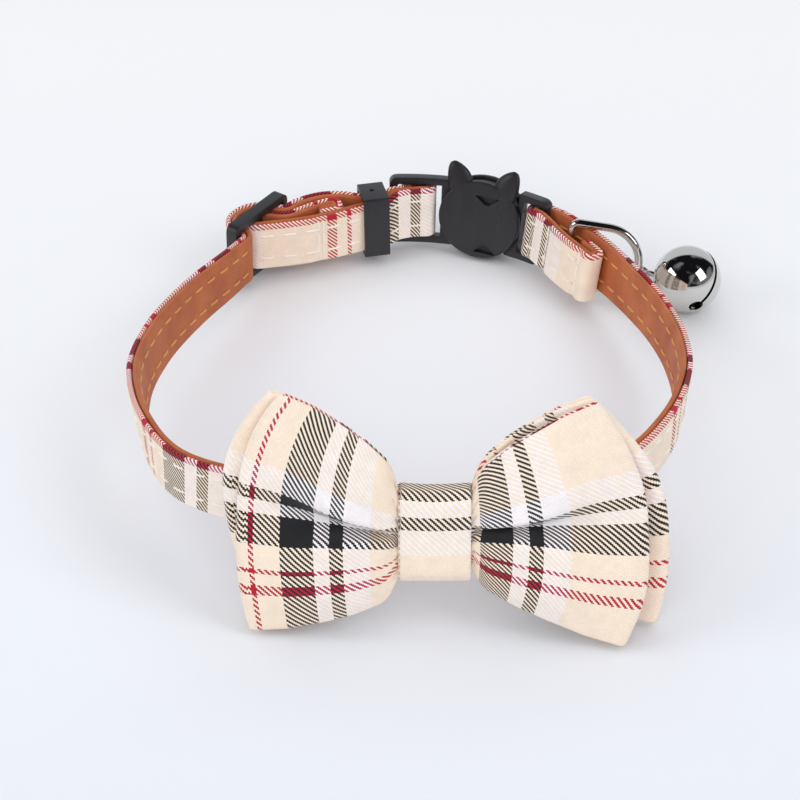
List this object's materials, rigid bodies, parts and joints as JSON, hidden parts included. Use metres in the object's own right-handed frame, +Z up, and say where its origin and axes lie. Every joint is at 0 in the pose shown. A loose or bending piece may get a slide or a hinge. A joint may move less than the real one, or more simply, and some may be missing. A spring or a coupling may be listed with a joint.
{
  "type": "cat collar with bow tie and bell",
  "caption": "Fastened cat collar: plaid cloth over a leather lining, double bow tie at the front, cat-head breakaway buckle, slide adjuster, keeper, D-ring and round jingle bell.",
  "frame": {"origin": "middle of the bounding box's base, on the surface the collar stands on", "axes": "+Z up, the buckle at the back towards +Y, the bow tie at the front towards -Y, the bell towards +X"},
  "size_m": [0.1112, 0.1308, 0.043],
  "materials": {
    "strap_face": "woven plaid cotton twill, matt",
    "strap_lining": "smooth tan leather with a row of running stitches along each edge",
    "bow_front": "woven plaid cotton twill, matt",
    "bow_back": "woven plaid cotton twill, matt",
    "bow_knot": "woven plaid cotton twill, matt",
    "buckle_socket": "black satin moulded plastic",
    "buckle_prong": "black satin moulded plastic",
    "slide_adjuster": "black satin moulded plastic",
    "keeper_loop": "black satin moulded plastic",
    "d_ring": "nickel-plated wire",
    "bell_ring": "nickel-plated wire",
    "bell_shell": "polished nickel plate",
    "bell_pellet": "plain steel"
  },
  "bodies": {
    "root": {"strap_face": "strap_face", "strap_lining": "strap_lining", "bow_front": "bow_front", "bow_back": "bow_back", "bow_knot": "bow_knot", "buckle_socket": "buckle_socket", "buckle_prong": "buckle_prong", "slide_adjuster": "slide_adjuster", "keeper_loop": "keeper_loop", "d_ring": "d_ring", "bell_ring": "bell_ring", "bell_shell": "bell_shell", "bell_pellet": "bell_pellet"}
  },
  "joints": []
}
